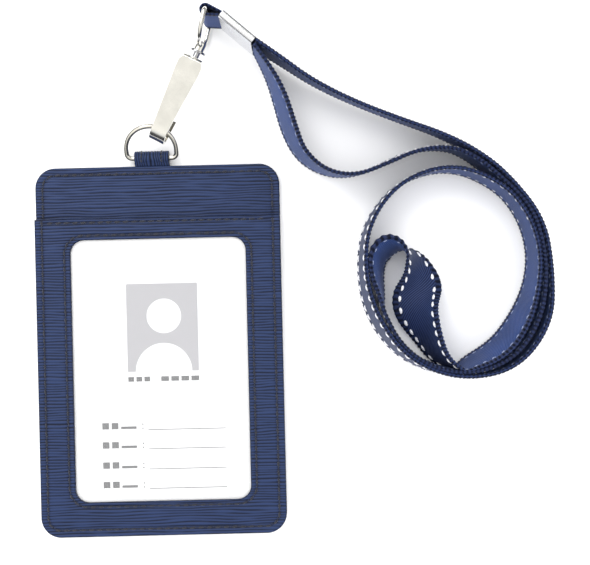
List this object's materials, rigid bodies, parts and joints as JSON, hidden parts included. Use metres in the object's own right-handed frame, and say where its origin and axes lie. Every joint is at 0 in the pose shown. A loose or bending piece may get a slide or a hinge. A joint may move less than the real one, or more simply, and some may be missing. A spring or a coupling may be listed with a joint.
{
  "type": "lanyard",
  "caption": "Neck lanyard laid flat: coiled satin ribbon strap, crimped swivel hook and ring, and a leather badge holder with a clear window and a card.",
  "frame": {"origin": "centre of the badge holder's back face", "axes": "+Y up the holder towards the hook and strap, +X to the holder's right seen from the front, +Z out of the holder's front face, away from the table"},
  "size_m": [0.151, 0.1545, 0.0183],
  "materials": {
    "leather": "embossed",
    "board": "matt",
    "clear_film": "clear",
    "card": "satin",
    "thread": "twisted",
    "metal": "polished",
    "ribbon": "satin weave"
  },
  "bodies": {
    "strap": {"strap_crimp": "metal", "strap_loop": "ribbon", "strap_leg_a": "ribbon", "strap_leg_b": "ribbon", "strap_coil": "ribbon", "strap_inner_loop": "ribbon"},
    "eye": {"swivel_eye": "metal", "swivel_rivet": "metal"},
    "hook": {"hook_body": "metal", "gate_rivet": "metal"},
    "gate": {"gate_leaf": "metal"},
    "ring": {"d_ring": "metal"},
    "holder": {"back_cover": "leather", "stiffener_board": "board", "facing_panel": "leather", "front_panel": "leather", "window_film": "clear_film", "perimeter_thread": "thread", "window_thread": "thread", "mouth_thread": "thread", "tab_strap": "leather", "tab_thread": "thread"},
    "card": {"id_card": "card"}
  },
  "joints": [
    {"name": "eye_swing", "type": "hinge", "parent": "strap", "child": "eye", "pos_m": [0.0168, 0.0977, 0.00925], "axis": [0, 0, 1], "range_deg": [-60, 2]},
    {"name": "hook_swivel", "type": "hinge", "parent": "eye", "child": "hook", "pos_m": [0.00236, 0.0653, 0.007], "axis": [0.4569, 0.8852, 0.0872], "continuous": true},
    {"name": "ring_on_hook", "type": "hinge", "parent": "hook", "child": "ring", "pos_m": [0.00236, 0.0653, 0.007], "axis": [0.8886, -0.4587, 0], "range_deg": [-45, 30]},
    {"name": "ring_hinge", "type": "hinge", "parent": "ring", "child": "holder", "pos_m": [-0.0014, 0.0575, 0.00215], "axis": [1, 0, 0], "range_deg": [-45, 50]},
    {"name": "gate_press", "type": "hinge", "parent": "hook", "child": "gate", "pos_m": [0.0101, 0.0803, 0.01031], "axis": [-0.8886, 0.4587, 0], "range_deg": [0, 8], "stiffness_Nm_per_rad": 0.002},
    {"name": "card_slide", "type": "slide", "parent": "holder", "child": "card", "axis": [0, 1, 0], "range_m": [0, 0.014]}
  ]
}
